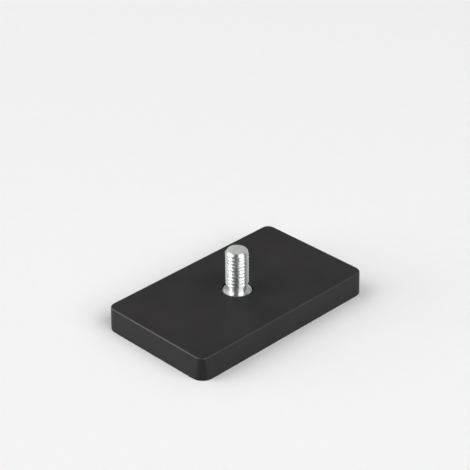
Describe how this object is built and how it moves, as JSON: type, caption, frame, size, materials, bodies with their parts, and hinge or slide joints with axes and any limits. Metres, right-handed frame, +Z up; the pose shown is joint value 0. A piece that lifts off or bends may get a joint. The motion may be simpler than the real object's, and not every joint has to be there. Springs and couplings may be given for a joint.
{
  "type": "rubber-coated pot magnet with threaded stud",
  "caption": "Flat rectangular pot magnet in a moulded black rubber jacket, with a zinc-plated M8 threaded stud and collar in its middle.",
  "frame": {"origin": "middle of the magnet face, which is the flat underside of the jacket", "axes": "+X along the jacket's length, +Y across it, +Z up along the stud"},
  "size_m": [0.075, 0.045, 0.0227],
  "materials": {
    "jacket_rubber": "satin black moulded rubber with a fine matt texture",
    "plate_steel": "bare punched steel plate",
    "zinc_plated_steel": "bright zinc-plated rolled thread",
    "magnet_nickel": "nickel-plated sintered block magnet"
  },
  "bodies": {
    "root": {"rubber_jacket": "jacket_rubber", "yoke_plate": "plate_steel", "threaded_stud": "zinc_plated_steel", "magnet_1": "magnet_nickel", "magnet_2": "magnet_nickel", "magnet_3": "magnet_nickel", "magnet_4": "magnet_nickel", "magnet_5": "magnet_nickel", "magnet_6": "magnet_nickel", "magnet_7": "magnet_nickel", "magnet_8": "magnet_nickel"}
  },
  "joints": []
}
